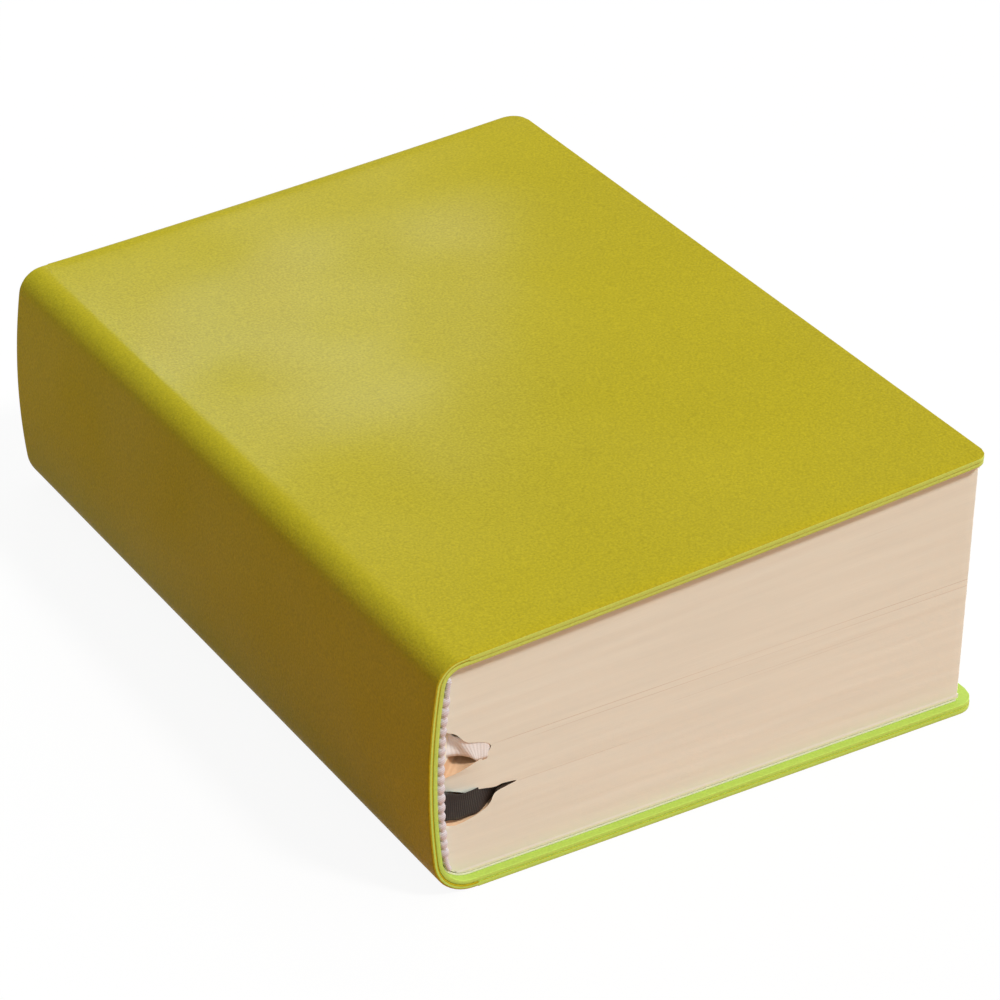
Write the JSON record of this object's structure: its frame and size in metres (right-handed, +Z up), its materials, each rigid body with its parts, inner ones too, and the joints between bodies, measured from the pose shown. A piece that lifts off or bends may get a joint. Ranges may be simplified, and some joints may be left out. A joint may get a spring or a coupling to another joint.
{
  "type": "daily planner",
  "caption": "Thick closed page-a-day planner with a limp pebbled cover, rounded spine, sewn headbands and ribbon markers between the leaves.",
  "frame": {"origin": "on the table plane under the middle of the closed planner's bounding box, ribbon tails included", "axes": "+X from the spine to the fore edge, +Y from the head to the foot, +Z up from the lower cover to the upper cover"},
  "size_m": [0.113, 0.1618, 0.0529],
  "materials": {
    "cover_skin": "satin",
    "cover_lining": "matte",
    "leaf_paper": "matte",
    "endleaf_paper": "matte",
    "spine_cloth": "matte",
    "headband_thread": "matte",
    "white_satin": "satin",
    "brown_satin": "satin"
  },
  "bodies": {
    "block": {"page_block": "leaf_paper", "upper_endleaves": "endleaf_paper", "lower_endleaves": "endleaf_paper", "spine_lining": "spine_cloth", "head_band": "headband_thread", "tail_band": "headband_thread", "white_ribbon": "white_satin", "brown_ribbon": "brown_satin", "spine_cover": "cover_skin", "spine_cover_lining": "cover_lining"},
    "upper_cover_body": {"upper_cover": "cover_skin", "upper_cover_lining": "cover_lining", "upper_pastedown": "endleaf_paper"},
    "lower_cover_body": {"lower_cover": "cover_skin", "lower_cover_lining": "cover_lining", "lower_pastedown": "endleaf_paper"}
  },
  "joints": [
    {"name": "upper_cover_fold", "type": "hinge", "parent": "block", "child": "upper_cover_body", "pos_m": [-0.04612, 0, 0.04646], "axis": [0, -1, 0], "range_deg": [0, 175]},
    {"name": "lower_cover_fold", "type": "hinge", "parent": "block", "child": "lower_cover_body", "pos_m": [-0.04612, 0, 0], "axis": [0, 1, 0], "range_deg": [0, 175]}
  ]
}
